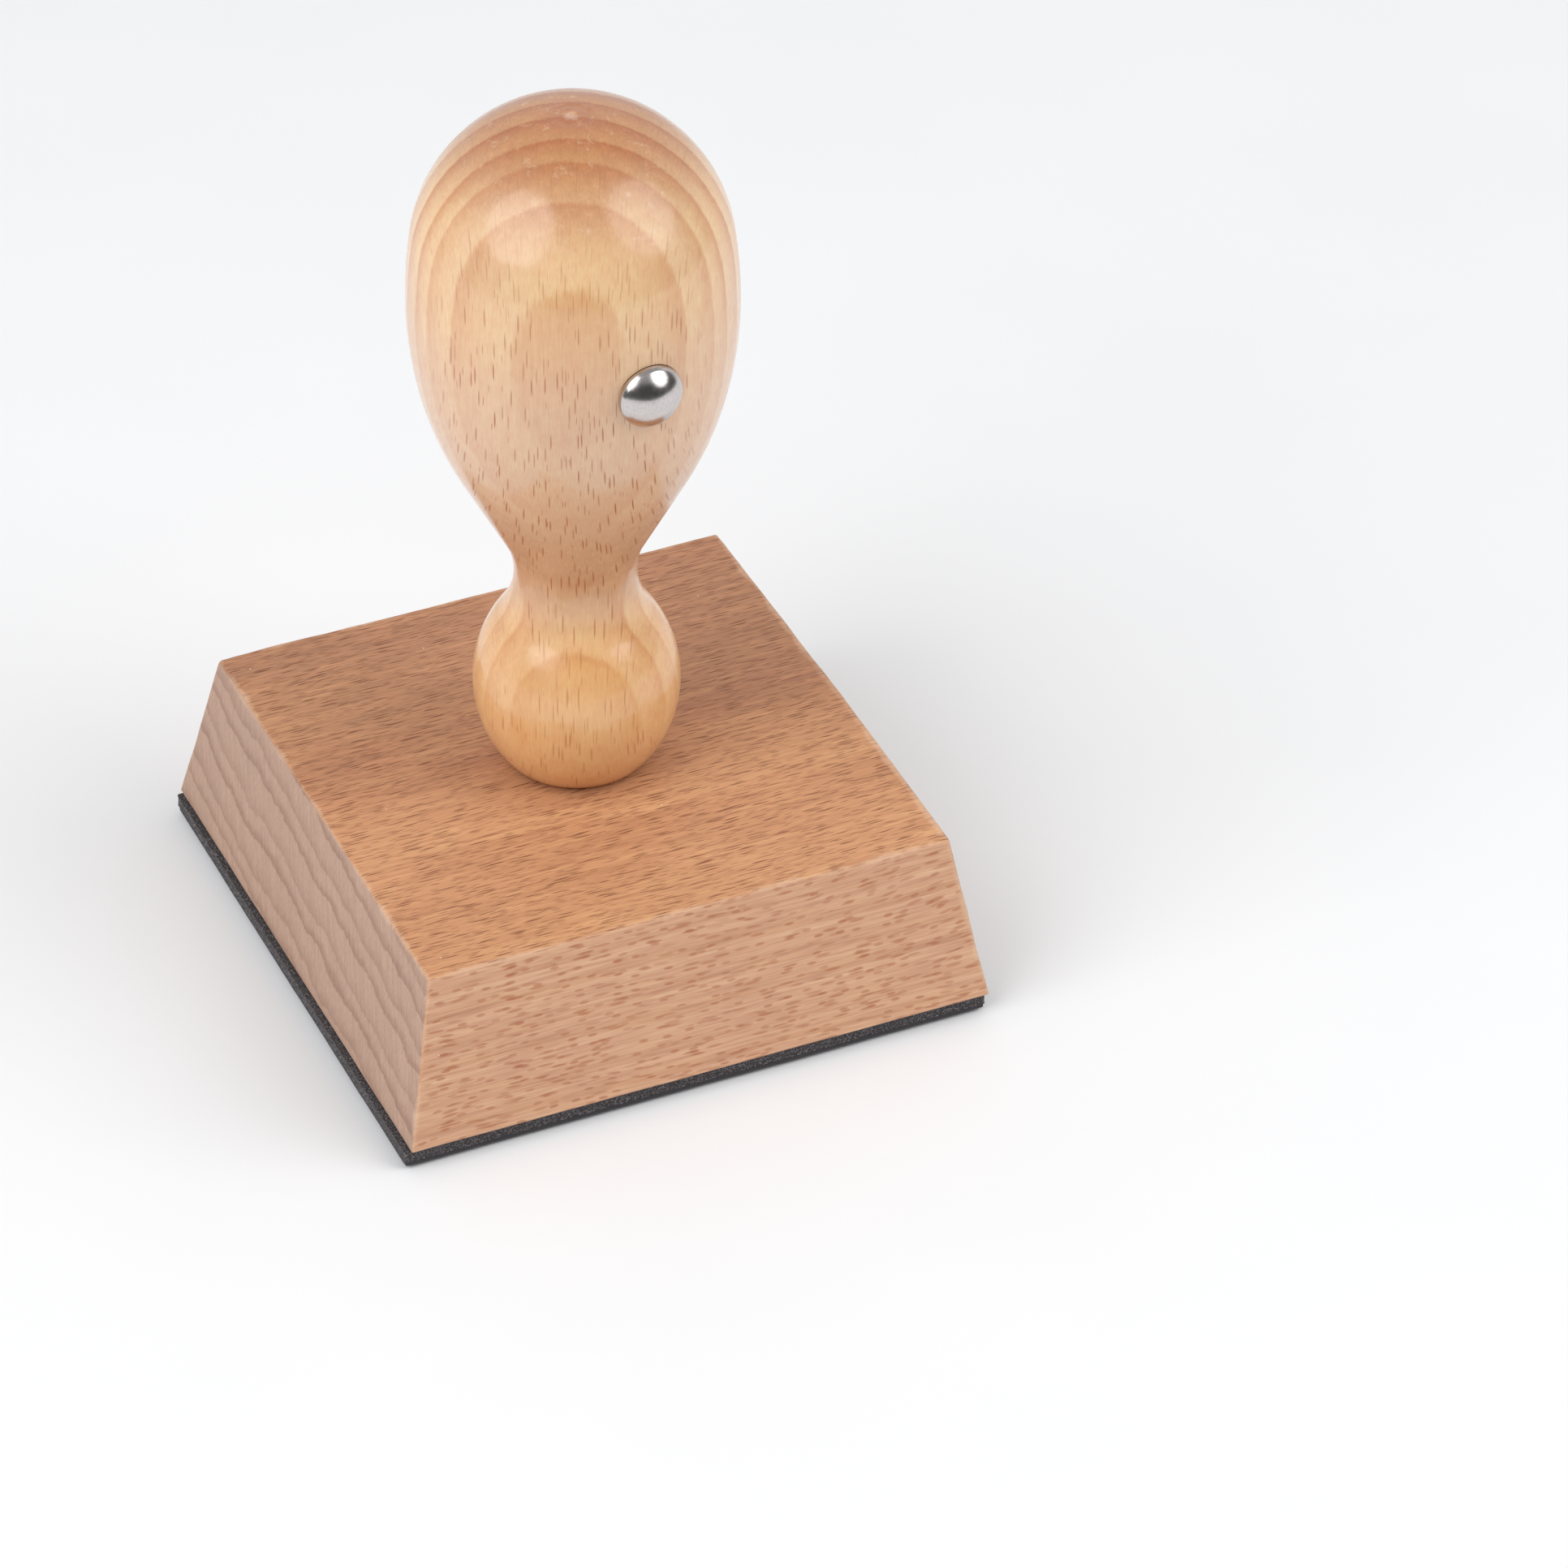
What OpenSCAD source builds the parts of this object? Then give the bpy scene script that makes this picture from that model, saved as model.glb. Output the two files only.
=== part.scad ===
// Wood-mounted rubber stamp: a turned handle screwed to a bevelled block, with a cushion and an
// engraved rubber die glued under it.
// Millimetres. The printing face lies on z = 0, +Z runs up the handle, and -Y is the front.

/* [Block] */
// Width of the block's underside, along the grain
block_w = 70; // [60:0.5:90]
// Depth of the block's underside, across the grain
block_d = 71.8; // [60:0.2:90]
// Height of the block
block_h = 20.4; // [16:0.2:26]
// How far each sloping side leans in by the top
block_bevel = 3.9; // [0:0.1:8]
// Bevel along the block's bottom edges
block_arris = 0.2; // [0.2:0.1:1]

/* [Handle] */
// Height of the handle above the block
handle_h = 84.7; // [82:0.1:88]
// Widest diameter of the grip
grip_d = 36.4; // [34:0.2:38]
// Height of the grip's widest place above the block
grip_z = 61; // [60:0.5:62]
// Narrowest diameter, between ball and grip
waist_d = 13.8; // [13:0.2:15]
// Diameter of the lower ball
ball_d = 23.4; // [22.6:0.2:25]
// Height of the ball's widest place above the block
ball_z = 10.3; // [9.5:0.1:11]
// Diameter of the flat foot that stands on the block
foot_d = 15.4; // [14:0.2:17]
// Radius of the hollow round the waist
waist_r = 10.5; // [9:0.5:12]
// Radius of the side below the widest place
belly_r = 46.7; // [42:0.5:52]
// Radius of the side above the widest place
shoulder_r = 61.6; // [50:0.5:80]

/* [Marker pin] */
// Diameter of the domed head
pin_head_d = 7.4; // [5:0.1:9]
// Height of the head above its seat
pin_head_h = 2.9; // [1.8:0.1:3.4]
// Diameter of the shank
pin_shank_d = 1.6; // [1:0.1:2.4]
// Length of the shank
pin_shank_l = 13; // [8:0.5:15]
// Height of the pin above the block
pin_z = 59.5; // [56:0.5:64]
// How far the pin stands round the handle from the front, in degrees
pin_turn = 4; // [-10:0.5:10]

/* [Handle screw] */
// Outer diameter of the thread and shank
screw_d = 3.5; // [3:0.1:4]
// Diameter of the countersunk head
screw_head_d = 7; // [6:0.1:8]
// Length of the screw, head included
screw_l = 38; // [34:1:40]
// Distance from one thread ridge to the next
screw_pitch = 1.6; // [1.2:0.1:2]
// Gap all round the screw where it passes through the block
screw_gap = 0.05; // [0.02:0.01:0.1]

/* [Printing pad] */
// Thickness of each film of adhesive
film_t = 0.1; // [0.05:0.05:0.2]
// Thickness of the foam cushion
foam_t = 1.4; // [1:0.1:3]
// Thickness of the die's backing sheet
die_base_t = 0.5; // [0.3:0.1:1]
// Height of the raised printing surface
relief_t = 0.5; // [0.3:0.1:1]
// Width of the pad
pad_w = 70.6; // [58:0.2:71]
// Depth of the pad
pad_d = 71; // [58:0.2:71.8]
// How far the pad sits off the block's centre, to the left
pad_off_x = 0.4; // [-0.5:0.1:0.5]
// How far the pad sits off the block's centre, to the back
pad_off_y = 0; // [-0.3:0.1:0.3]

/* [Printing design] */
// Distance from the pad's edge to the border line
border_in = 2.5; // [1.5:0.5:6]
// Width of the outer border line
border_t = 1.2; // [0.6:0.1:2]
// Petals on the rosette
petals = 8; // [6:1:12]
// Length of a petal
petal_l = 17; // [12:0.5:20]

/* [Hidden] */
$fn = 96;
eps = 0.01;

// Heights of the layers, from the printing face up
base_z = relief_t;
die_film_z = base_z + die_base_t;
foam_z = die_film_z + film_t;
mount_film_z = foam_z + foam_t;
block_z = mount_film_z + film_t;
foot_z = block_z + block_h;

// Ball: an arc through its widest place and the rim of the foot
ball_r = ball_d / 2;
foot_r = foot_d / 2;
ball_cx = (ball_r * ball_r - foot_r * foot_r - ball_z * ball_z) / (2 * (ball_r - foot_r));
ball_arc = ball_r - ball_cx;

// Waist: a hollow that meets the ball without a step
waist_cx = waist_d / 2 + waist_r;
waist_cz = ball_z + sqrt(pow(ball_arc + waist_r, 2) - pow(waist_cx - ball_cx, 2));
ball_share = ball_arc / (ball_arc + waist_r);
ball_top_r = ball_cx + (waist_cx - ball_cx) * ball_share;
ball_top_z = ball_z + (waist_cz - ball_z) * ball_share;

// Flank: the straight line that touches the waist's hollow and the belly's arc
belly_cx = grip_d / 2 - belly_r;
centres_dx = waist_cx - belly_cx;
centres_dz = waist_cz - grip_z;
centres_l = sqrt(centres_dx * centres_dx + centres_dz * centres_dz);
flank_a = atan2(centres_dz, centres_dx) + acos((waist_r + belly_r) / centres_l);
flank_low_r = waist_cx - waist_r * cos(flank_a);
flank_low_z = waist_cz - waist_r * sin(flank_a);
flank_high_r = belly_cx + belly_r * cos(flank_a);
flank_high_z = grip_z + belly_r * sin(flank_a);

// Crown: a ball end that meets the shoulder's arc without a step
shoulder_cx = grip_d / 2 - shoulder_r;
crown_rise = handle_h - grip_z;
crown_r = (shoulder_cx * shoulder_cx + crown_rise * crown_rise - shoulder_r * shoulder_r)
    / (2 * (crown_rise - shoulder_r));
crown_cz = handle_h - crown_r;
crown_a = atan2(crown_cz - grip_z, -shoulder_cx);
crown_low_z = grip_z + shoulder_r * sin(crown_a);

// Marker pin: the head's flat back lies on a seat cut this deep into the grip
pin_seat = 0.35;
pin_seat_r = grip_d / 2 - pin_seat;
pin_rim = 0.9;
pin_tip_l = 2.5;
pin_dome_h = pin_head_h - pin_rim;
pin_dome_r = (pow(pin_head_d / 2, 2) + pin_dome_h * pin_dome_h) / (2 * pin_dome_h);

// Screw: a straight-sided rim, a 90 degree cone, a plain shank and a threaded end
screw_sink = 0.3;
screw_z = block_z + screw_sink;
screw_rim = 0.3;
screw_cone_h = (screw_head_d - screw_d) / 2;
screw_core_d = 0.68 * screw_d;
screw_tip_l = 3;
thread_z = foot_z + 1;
thread_l = screw_z + screw_l - screw_tip_l - thread_z;
thread_turns = floor(thread_l / screw_pitch);
pilot_d = screw_core_d + 0.1;
pilot_l = screw_z + screw_l + 1 - foot_z;
drive_w = 0.9;
drive_l = 3.8;
drive_h = 1.5;

// Printing design
line_t = 0.6;
line_gap = 1;
dot_d = 2;
corner_l = 7;

// A ring-shaped slice of the handle's half outline, from height z0 to z1
module slice(z0, z1) {
    translate([0, z0]) square([grip_d, z1 - z0]);
}

// Half outline of the handle, from the axis out, with its foot on y = 0: a core, and the slices
// that lie round it from the ball up to the crown
module handle_outline() {
    translate([0, 1]) square([0.4 * waist_d, crown_cz]);
    intersection() {
        translate([ball_cx, ball_z]) circle(r = ball_arc);
        slice(0, ball_top_z);
    }
    difference() {
        translate([0, ball_top_z]) square([ball_r, flank_low_z - ball_top_z]);
        translate([waist_cx, waist_cz]) circle(r = waist_r);
    }
    polygon([
        [0, flank_low_z],
        [flank_low_r, flank_low_z],
        [flank_high_r, flank_high_z],
        [0, flank_high_z]
    ]);
    intersection() {
        translate([belly_cx, grip_z]) circle(r = belly_r);
        slice(flank_high_z, grip_z);
    }
    intersection() {
        translate([shoulder_cx, grip_z]) circle(r = shoulder_r);
        slice(grip_z, crown_low_z);
    }
    intersection() {
        translate([0, crown_cz]) circle(r = crown_r);
        slice(crown_cz, handle_h);
    }
}

// Puts a shape drawn along +Z on the pin's seat, pointing out of the grip
module at_pin() {
    rotate([0, 0, pin_turn])
        translate([0, -pin_seat_r, foot_z + pin_z])
            rotate([90, 0, 0])
                children();
}

module handle() {
    color("burlywood") difference() {
        translate([0, 0, foot_z]) rotate_extrude() handle_outline();
        translate([0, 0, foot_z - eps]) cylinder(h = pilot_l + eps, d = pilot_d);
        at_pin() cylinder(h = 2 * pin_seat, d = pin_head_d + 0.1);
        at_pin() translate([0, 0, -pin_shank_l]) cylinder(h = pin_shank_l + eps, d = pin_shank_d);
    }
}

module marker_pin() {
    color("silver") at_pin() {
        cylinder(h = pin_rim, d = pin_head_d);
        intersection() {
            translate([0, 0, pin_head_h - pin_dome_r]) sphere(r = pin_dome_r);
            translate([0, 0, pin_rim]) cylinder(h = pin_head_h, d = 2 * pin_head_d);
        }
        translate([0, 0, pin_tip_l - pin_shank_l]) cylinder(h = pin_shank_l - pin_tip_l, d = pin_shank_d);
        translate([0, 0, -pin_shank_l]) cylinder(h = pin_tip_l, d1 = 0, d2 = pin_shank_d);
    }
}

// Countersunk head, widened by gap all round where it cuts the block
module screw_head(gap) {
    translate([0, 0, screw_z]) cylinder(h = screw_rim, d = screw_head_d + 2 * gap);
    translate([0, 0, screw_z + screw_rim])
        cylinder(h = screw_cone_h, d1 = screw_head_d + 2 * gap, d2 = screw_d + 2 * gap);
}

// One ridge of the thread, sharp at the rim
module thread_ridge() {
    rotate_extrude() polygon([
        [0, 0],
        [screw_core_d / 2, 0],
        [screw_d / 2, screw_pitch / 4],
        [screw_core_d / 2, screw_pitch / 2],
        [0, screw_pitch / 2]
    ]);
}

module handle_screw() {
    tip_z = screw_z + screw_l - screw_tip_l;
    color("gray") difference() {
        union() {
            screw_head(0);
            translate([0, 0, screw_z + screw_rim]) cylinder(h = thread_z - screw_z - screw_rim, d = screw_d);
            translate([0, 0, thread_z - eps]) cylinder(h = tip_z - thread_z + eps, d = screw_core_d);
            translate([0, 0, tip_z]) cylinder(h = screw_tip_l, d1 = screw_core_d, d2 = 0);
            for (i = [0 : thread_turns - 1])
                translate([0, 0, thread_z + screw_pitch / 4 + i * screw_pitch]) thread_ridge();
        }
        for (a = [0, 90])
            rotate([0, 0, a])
                translate([-drive_l / 2, -drive_w / 2, screw_z - eps])
                    cube([drive_l, drive_w, drive_h + eps]);
    }
}

// A prism along Y whose ends have the block's cross-section: bevelled foot, sloping sides
module sloped_prism(width, depth) {
    slope = block_bevel / (block_h - block_arris);
    half = width / 2;
    translate([0, depth / 2, 0]) rotate([90, 0, 0]) linear_extrude(depth) polygon([
        [-half + block_arris, 0],
        [half - block_arris, 0],
        [half, block_arris],
        [half - slope * (block_h - block_arris), block_h],
        [-half + slope * (block_h - block_arris), block_h],
        [-half, block_arris]
    ]);
}

module mount_block() {
    color("peru") difference() {
        translate([0, 0, block_z]) intersection() {
            sloped_prism(block_w, 2 * block_d);
            rotate([0, 0, 90]) sloped_prism(block_d, 2 * block_w);
        }
        translate([0, 0, block_z - eps]) cylinder(h = block_h + 2 * eps, d = screw_d + 2 * screw_gap);
        translate([0, 0, block_z - eps])
            cylinder(h = screw_sink + 2 * eps, d = screw_head_d + 2 * screw_gap);
        screw_head(screw_gap);
    }
}

// A sheet of the pad, at height z and of thickness t
module pad_sheet(z, t) {
    translate([-pad_off_x - pad_w / 2, pad_off_y - pad_d / 2, z]) cube([pad_w, pad_d, t]);
}

module mount_adhesive() {
    color("beige") pad_sheet(mount_film_z, film_t);
}

module foam_cushion() {
    color([0.24, 0.23, 0.24]) pad_sheet(foam_z, foam_t);
}

module die_adhesive() {
    color("ivory") pad_sheet(die_film_z, film_t);
}

// A rectangular line, its outer edge inset from the pad's edge
module frame_line(inset, t) {
    w = pad_w - 2 * inset;
    d = pad_d - 2 * inset;
    difference() {
        square([w, d], center = true);
        square([w - 2 * t, d - 2 * t], center = true);
    }
}

// A pointed leaf of length l along +Y, starting at the origin
module leaf(l) {
    arc_r = 0.75 * l;
    side = sqrt(arc_r * arc_r - l * l / 4);
    intersection() {
        translate([-side, l / 2]) circle(r = arc_r);
        translate([side, l / 2]) circle(r = arc_r);
    }
}

// The raised ornament: two border lines, a rosette in the middle and a leaf in each corner
module printing_design() {
    inner_in = border_in + border_t + line_gap;
    frame_line(border_in, border_t);
    frame_line(inner_in, line_t);
    circle(d = 2 * dot_d);
    for (i = [0 : petals - 1]) {
        rotate([0, 0, i * 360 / petals]) translate([0, 2 * dot_d]) leaf(petal_l);
        rotate([0, 0, (i + 0.5) * 360 / petals]) translate([0, petal_l]) circle(d = dot_d);
    }
    for (sx = [-1, 1], sy = [-1, 1])
        translate([sx * (pad_w / 2 - inner_in - 2.5), sy * (pad_d / 2 - inner_in - 2.5)])
            rotate([0, 0, atan2(-sy, -sx) - 90])
                for (turn = [-32, 0, 32])
                    rotate([0, 0, turn]) translate([0, 1]) leaf(corner_l);
}

module rubber_die() {
    color([0.2, 0.19, 0.2]) {
        pad_sheet(base_z, die_base_t);
        translate([-pad_off_x, pad_off_y, 0]) linear_extrude(relief_t + eps) printing_design();
    }
}

handle();
marker_pin();
handle_screw();
mount_block();
mount_adhesive();
foam_cushion();
die_adhesive();
rubber_die();
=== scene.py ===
"""Looks of a wood-mounted rubber stamp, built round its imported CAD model.

Shapes are worked out in millimetres and turned into metres when a piece is made. The printing
face lies on z = 0, +Z runs up the handle, and -Y is the front.
"""

import math

import bmesh
import bpy
import numpy as np
from mathutils import Matrix, Vector, noise


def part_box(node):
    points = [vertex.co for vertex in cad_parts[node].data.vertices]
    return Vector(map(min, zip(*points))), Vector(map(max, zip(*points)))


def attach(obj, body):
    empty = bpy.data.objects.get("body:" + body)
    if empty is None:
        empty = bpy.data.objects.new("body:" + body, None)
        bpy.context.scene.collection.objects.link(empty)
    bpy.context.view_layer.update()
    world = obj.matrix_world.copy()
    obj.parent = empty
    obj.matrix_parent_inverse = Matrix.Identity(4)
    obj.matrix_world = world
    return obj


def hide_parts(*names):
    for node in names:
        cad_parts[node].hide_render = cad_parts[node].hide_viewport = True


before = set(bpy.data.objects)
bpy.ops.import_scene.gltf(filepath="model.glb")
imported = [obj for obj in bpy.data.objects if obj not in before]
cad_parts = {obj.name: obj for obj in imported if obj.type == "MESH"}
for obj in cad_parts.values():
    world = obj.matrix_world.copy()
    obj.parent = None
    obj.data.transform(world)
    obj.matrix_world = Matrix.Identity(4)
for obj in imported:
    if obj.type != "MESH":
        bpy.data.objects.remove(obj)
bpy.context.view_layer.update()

MM = 0.001
TURN = 2 * math.pi

# Camera: the direction it stands in, its distance and lens, and the point it looks at, in metres
# to the right of and above the middle of the block's underside
VIEW_AZIMUTH = math.radians(-24.416)
VIEW_ELEVATION = math.radians(37.283)
VIEW_ROLL = math.radians(0.583)
VIEW_DISTANCE = 0.9322
VIEW_LENS = 187.14
AIM_RIGHT = 0.02338
AIM_UP = 0.01247

# Brightness of the room behind the camera, at its sides, opposite the camera and overhead, of the
# overhead part as polished surfaces mirror it, and of the backdrop that the camera sees
STUDIO_FRONT = 0.06
STUDIO_SIDE = 1.1
STUDIO_BACK = 0.68
STUDIO_TOP = 0.64
STUDIO_TOP_MIRRORED = 0.4
BACKDROP = 0.9

# Handle, in mm from its foot, as the CAD draws it
WAIST_R = 6.9
WAIST_HOLLOW_R = 10.5
BALL_R = 11.7
BALL_Z = 10.3
FOOT_R = 7.7
FOOT_RIM = 0.9
GRIP_R = 18.2
GRIP_Z = 61.0
BELLY_R = 46.7
SHOULDER_R = 61.6
HANDLE_H = 84.7

# Marker pin, in mm
PIN_TURN = math.radians(4)
PIN_SEAT_R = 17.85
PIN_Z = 59.5
PIN_HEAD_R = 3.7
PIN_HEAD_H = 2.9
PIN_RIM = 0.9
PIN_SHANK_R = 0.8
PIN_SHANK_L = 13.0
PIN_TIP_L = 2.5

# Screw, in mm
SCREW_R = 1.75
SCREW_SHANK_R = 1.63
SCREW_CORE_R = 1.19
SCREW_HEAD_R = 3.5
SCREW_L = 38.0
SCREW_PITCH = 1.6
SCREW_SINK = 0.3
SCREW_GAP = 0.05

# Block, in mm
BLOCK_BEVEL = 3.9
BLOCK_ARRIS = 0.2

# Pad, in mm: how far its parts are cut inside the CAD sheets, its corners and the foam's cells
FILM_INSET = 1.1
DIE_INSET = 0.05
PAD_CORNER_R = 0.3
FOAM_CELL = 0.28
CUT_SEED = 3

# Printing design, in mm
BORDER_IN = 2.5
BORDER_T = 1.2
LINE_GAP = 1.0
LINE_T = 0.6
DOT_D = 2.0
PETALS = 8
PETAL_L = 17.0
CORNER_L = 7.0
RELIEF_T = 0.5
RELIEF_ROOT_Z = RELIEF_T + 0.12


def box_mm(node):
    """Lowest and highest corner of a CAD node, in mm."""
    low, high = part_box(node)
    return np.array(low) / MM, np.array(high) / MM


BLOCK_LOW, BLOCK_HIGH = box_mm("mount_block")
BLOCK_LEAN = BLOCK_BEVEL / (BLOCK_HIGH[2] - BLOCK_LOW[2] - BLOCK_ARRIS)
FOOT_Z = BLOCK_HIGH[2]


# ---------------------------------------------------------------- meshes


def new_object(name, vertices, faces, crease=math.radians(40)):
    """A smooth-shaded mesh object from points in mm. Edges sharper than crease stay hard."""
    mesh = bpy.data.meshes.new(name)
    mesh.from_pydata([tuple(v) for v in np.asarray(vertices) * MM], [], faces)
    mesh.update()
    made = bpy.data.objects.new(name, mesh)
    bpy.context.scene.collection.objects.link(made)
    tidy_mesh(made, crease)
    return made


def tidy_mesh(made, crease=math.radians(40)):
    """Merges doubled points, turns every face outward and sets smooth and sharp edges."""
    work = bmesh.new()
    work.from_mesh(made.data)
    bmesh.ops.remove_doubles(work, verts=work.verts, dist=1e-7)
    bmesh.ops.recalc_face_normals(work, faces=work.faces)
    work.to_mesh(made.data)
    work.free()
    made.data.shade_smooth()
    made.data.set_sharp_from_angle(angle=crease)


def combine(made, cutter, operation, crease=math.radians(40)):
    """Cuts the cutter out of the object, or joins it on, and removes the cutter."""
    modifier = made.modifiers.new(operation, "BOOLEAN")
    modifier.operation = operation
    modifier.solver = "EXACT"
    modifier.object = cutter
    modifier.use_self = operation == "UNION"
    evaluated = made.evaluated_get(bpy.context.evaluated_depsgraph_get())
    mesh = bpy.data.meshes.new_from_object(evaluated)
    made.modifiers.clear()
    made.data = mesh
    bpy.data.objects.remove(cutter)
    tidy_mesh(made, crease)


def finish_piece(made, material, body, slot, *nodes):
    """Gives the piece its material and body, and hides the CAD nodes it stands for. The slot is not used.
    """
    made.data.materials.clear()
    made.data.materials.append(material)
    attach(made, body)
    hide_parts(*nodes)
    return made


def ring_faces(rings, around):
    """Quads between rings of points that each go once round."""
    faces = []
    for ring in range(rings - 1):
        for i in range(around):
            j = (i + 1) % around
            low, high = ring * around, (ring + 1) * around
            faces.append((low + i, low + j, high + j, high + i))
    return faces


def tube(rings):
    """Points and faces of a closed body made of rings of equal length, capped at both ends."""
    rings = np.asarray(rings)
    count, around = rings.shape[:2]
    points = rings.reshape(-1, 3)
    faces = ring_faces(count, around)
    faces.append(tuple(reversed(range(around))))
    faces.append(tuple(range((count - 1) * around, count * around)))
    return points, faces


def lathe(profile, around):
    """Points and faces of a closed body turned from (radius, height) points, low end first."""
    angles = np.arange(around) * TURN / around
    circle = np.stack([np.cos(angles), np.sin(angles), 0 * angles], axis=1)
    rings = [circle * radius + (0, 0, height) for radius, height in profile]
    return tube(rings)


def arc(centre, radius, start, end, steps):
    """Points on an arc, angles in radians from the outward direction, both ends included."""
    angles = np.linspace(start, end, steps + 1)
    return [(centre[0] + radius * math.cos(a), centre[1] + radius * math.sin(a)) for a in angles]


def joined(*runs):
    """One list of points from several runs, without points that repeat."""
    points = []
    for run in runs:
        for point in run:
            if not points or math.dist(point, points[-1]) > 1e-4:
                points.append(point)
    return points


# ---------------------------------------------------------------- handle


def handle_profile():
    """Half outline of the handle, foot up: ball, waist, straight flank, belly, shoulder, crown."""
    ball_c = (BALL_R**2 - FOOT_R**2 - BALL_Z**2) / (2 * (BALL_R - FOOT_R))
    ball_arc = BALL_R - ball_c
    waist_c = WAIST_R + WAIST_HOLLOW_R
    waist_z = BALL_Z + math.sqrt((ball_arc + WAIST_HOLLOW_R) ** 2 - (waist_c - ball_c) ** 2)
    ball_top = math.atan2(waist_z - BALL_Z, waist_c - ball_c)
    belly_c = GRIP_R - BELLY_R
    reach = math.dist((waist_c, waist_z), (belly_c, GRIP_Z))
    flank = math.atan2(waist_z - GRIP_Z, waist_c - belly_c)
    flank += math.acos((WAIST_HOLLOW_R + BELLY_R) / reach)
    shoulder_c = GRIP_R - SHOULDER_R
    rise = HANDLE_H - GRIP_Z
    crown_r = (shoulder_c**2 + rise**2 - SHOULDER_R**2) / (2 * (rise - SHOULDER_R))
    crown_z = HANDLE_H - crown_r
    crown = math.atan2(crown_z - GRIP_Z, -shoulder_c)
    foot_angle = math.atan2(-BALL_Z, FOOT_R - ball_c)
    foot = [(0.05, 0), (2, 0), (5, 0), (FOOT_R - FOOT_RIM, 0)]
    return joined(
        foot,
        [(FOOT_R - 0.4 * FOOT_RIM, 0.3 * FOOT_RIM)],
        arc((ball_c, BALL_Z), ball_arc, foot_angle + FOOT_RIM / ball_arc, ball_top, 70),
        arc((waist_c, waist_z), WAIST_HOLLOW_R, ball_top + math.pi, math.pi + flank, 44),
        arc((belly_c, GRIP_Z), BELLY_R, flank, 0, 64),
        arc((shoulder_c, GRIP_Z), SHOULDER_R, 0, crown, 22),
        arc((0, crown_z), crown_r, crown, math.pi / 2 - 0.004, 90),
    )


def turned(points):
    """Leaves the faint unevenness of turning and sanding, and the lathe's mark on the crown."""
    points = np.array(points)
    radius = np.hypot(points[:, 0], points[:, 1])
    for i, (x, y, z) in enumerate(points):
        if radius[i] < 0.5:
            continue
        hand = noise.noise(Vector((x / 9, y / 9, z / 14)))
        tool = noise.noise(Vector((0, 7, z / 0.9)))
        inward = 0.03 + 0.03 * hand + 0.012 * tool
        points[i, :2] *= 1 - inward / radius[i]
    top = points[:, 2].max()
    near = (points[:, 2] > top - 2) & (radius < 2.2)
    dent = 0.32 * np.exp(-((radius / 0.55) ** 2)) - 0.07 * np.exp(-(((radius - 1.1) / 0.35) ** 2))
    points[near, 2] -= dent[near] + 0.07
    return points


def make_handle():
    points, faces = lathe(handle_profile(), 224)
    made = new_object("wood_handle", turned(points) + (0, 0, FOOT_Z), faces)
    combine(made, pin_hole(), "DIFFERENCE")
    combine(made, pilot_hole(), "DIFFERENCE")
    return made


def pilot_hole():
    """The screw's hole up the middle of the handle."""
    depth = SCREW_L + BLOCK_LOW[2] + SCREW_SINK + 1
    radius = SCREW_CORE_R + 0.05
    profile = [(radius + 0.5, FOOT_Z - 0.5), (radius, FOOT_Z + 0.5), (radius, depth - 0.6), (0.05, depth)]
    points, faces = lathe(profile, 40)
    return new_object("cutter", points, faces)


# ---------------------------------------------------------------- marker pin


def on_pin_seat(points):
    """Moves points drawn along +Z to the pin's seat on the front of the grip."""
    place = Matrix.Rotation(PIN_TURN, 4, "Z")
    place = place @ Matrix.Translation((0, -PIN_SEAT_R, FOOT_Z + PIN_Z))
    place = place @ Matrix.Rotation(math.pi / 2, 4, "X")
    return np.array([place @ Vector(p) for p in points])


def pin_hole():
    """The flat seat under the pin's head, and the hole for its shank."""
    seat = PIN_HEAD_R + 0.05
    profile = [
        (0.05, -PIN_SHANK_L),
        (PIN_SHANK_R, PIN_TIP_L - PIN_SHANK_L),
        (PIN_SHANK_R, -0.3),
        (PIN_SHANK_R + 0.25, 0),
        (seat, 0),
        (seat + 0.05, 2),
    ]
    points, faces = lathe(profile, 72)
    return new_object("cutter", on_pin_seat(points), faces)


def make_marker_pin():
    """A nail with a domed head, a rolled rim and grip rings under the head."""
    rim = 0.25
    dome_h = PIN_HEAD_H - PIN_RIM
    dome_r = (PIN_HEAD_R**2 + dome_h**2) / (2 * dome_h)
    edge = math.asin((dome_r - dome_h) / dome_r)
    grips = []
    for i in range(4):
        z = -1.1 - 0.7 * i
        grips[:0] = [(PIN_SHANK_R - 0.09, z - 0.15), (PIN_SHANK_R, z)]
    profile = joined(
        [(0.03, -PIN_SHANK_L), (PIN_SHANK_R, PIN_TIP_L - PIN_SHANK_L)],
        [(PIN_SHANK_R, -4)],
        grips,
        arc((PIN_SHANK_R + 0.2, -0.2), 0.2, math.pi, math.pi / 2, 4),
        arc((PIN_HEAD_R - rim, rim), rim, -math.pi / 2, 0, 8),
        arc((PIN_HEAD_R - 0.4, PIN_RIM - 0.3), 0.4, 0, edge * 0.9, 6),
        arc((0, PIN_HEAD_H - dome_r), dome_r - 0.01, edge + 0.06, math.pi / 2 - 0.01, 40),
    )
    points, faces = lathe(profile, 120)
    return new_object("domed_marker_pin", on_pin_seat(points), faces)


# ---------------------------------------------------------------- screw


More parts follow.
